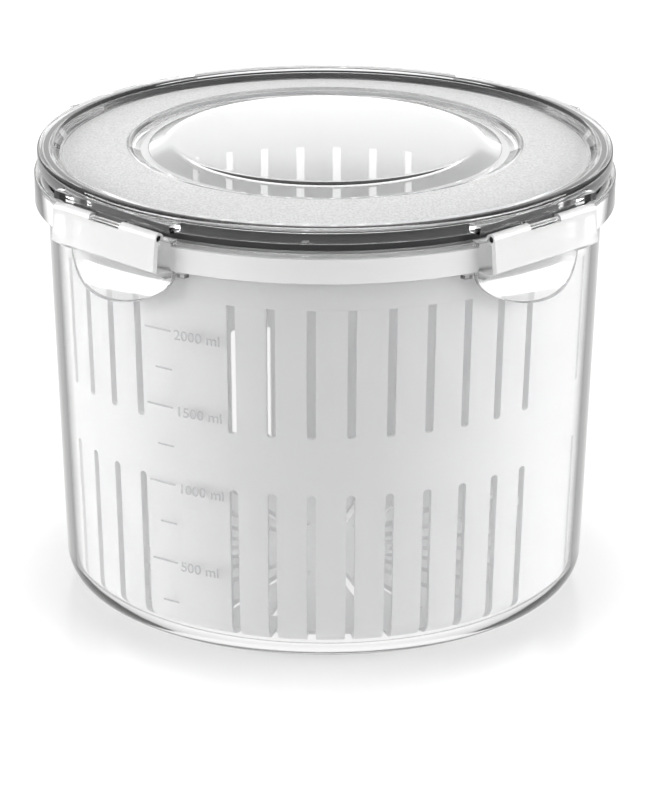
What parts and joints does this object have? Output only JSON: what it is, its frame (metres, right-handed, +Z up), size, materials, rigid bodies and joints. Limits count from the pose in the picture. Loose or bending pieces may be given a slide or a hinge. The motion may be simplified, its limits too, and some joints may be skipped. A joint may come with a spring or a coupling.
{
  "type": "pickle keeper",
  "caption": "Clear round pickle keeper: graduated tub, slotted lift-out strainer basket, gasketed lid with a domed window and hinged latches.",
  "frame": {"origin": "centre of the tub's foot, on the surface that it stands on", "axes": "+Z up along the tub's axis, -Y towards the front as pictured, +X to the right"},
  "size_m": [0.1778, 0.1778, 0.1416],
  "materials": {
    "tub_plastic": "clear, polished",
    "lid_plastic": "clear, with a finely frosted ring",
    "basket_plastic": "frosted white, slightly translucent",
    "gasket_rubber": "soft, dark grey",
    "latch_plastic": "milky, translucent"
  },
  "bodies": {
    "tub": {"tub": "tub_plastic"},
    "basket": {"strainer_basket": "basket_plastic"},
    "lid": {"lid": "lid_plastic", "lid_gasket": "gasket_rubber"},
    "latch_front_left": {"latch_front_left": "latch_plastic"},
    "latch_front_right": {"latch_front_right": "latch_plastic"},
    "latch_back_right": {"latch_back_right": "latch_plastic"},
    "latch_back_left": {"latch_back_left": "latch_plastic"}
  },
  "joints": [
    {"name": "basket_lift", "type": "slide", "parent": "tub", "child": "basket", "axis": [0, 0, 1], "range_m": [0, 0.14]},
    {"name": "lid_lift", "type": "slide", "parent": "basket", "child": "lid", "axis": [0, 0, 1], "range_m": [0, 0.06]},
    {"name": "latch_front_left_swing", "type": "hinge", "parent": "lid", "child": "latch_front_left", "pos_m": [-0.06357, -0.06357, 0.133], "axis": [-0.7071, 0.7071, 0], "range_deg": [-3, 125]},
    {"name": "latch_front_right_swing", "type": "hinge", "parent": "lid", "child": "latch_front_right", "pos_m": [0.06357, -0.06357, 0.133], "axis": [-0.7071, -0.7071, 0], "range_deg": [-3, 125]},
    {"name": "latch_back_right_swing", "type": "hinge", "parent": "lid", "child": "latch_back_right", "pos_m": [0.06357, 0.06357, 0.133], "axis": [0.7071, -0.7071, 0], "range_deg": [-3, 125]},
    {"name": "latch_back_left_swing", "type": "hinge", "parent": "lid", "child": "latch_back_left", "pos_m": [-0.06357, 0.06357, 0.133], "axis": [0.7071, 0.7071, 0], "range_deg": [-3, 125]}
  ]
}
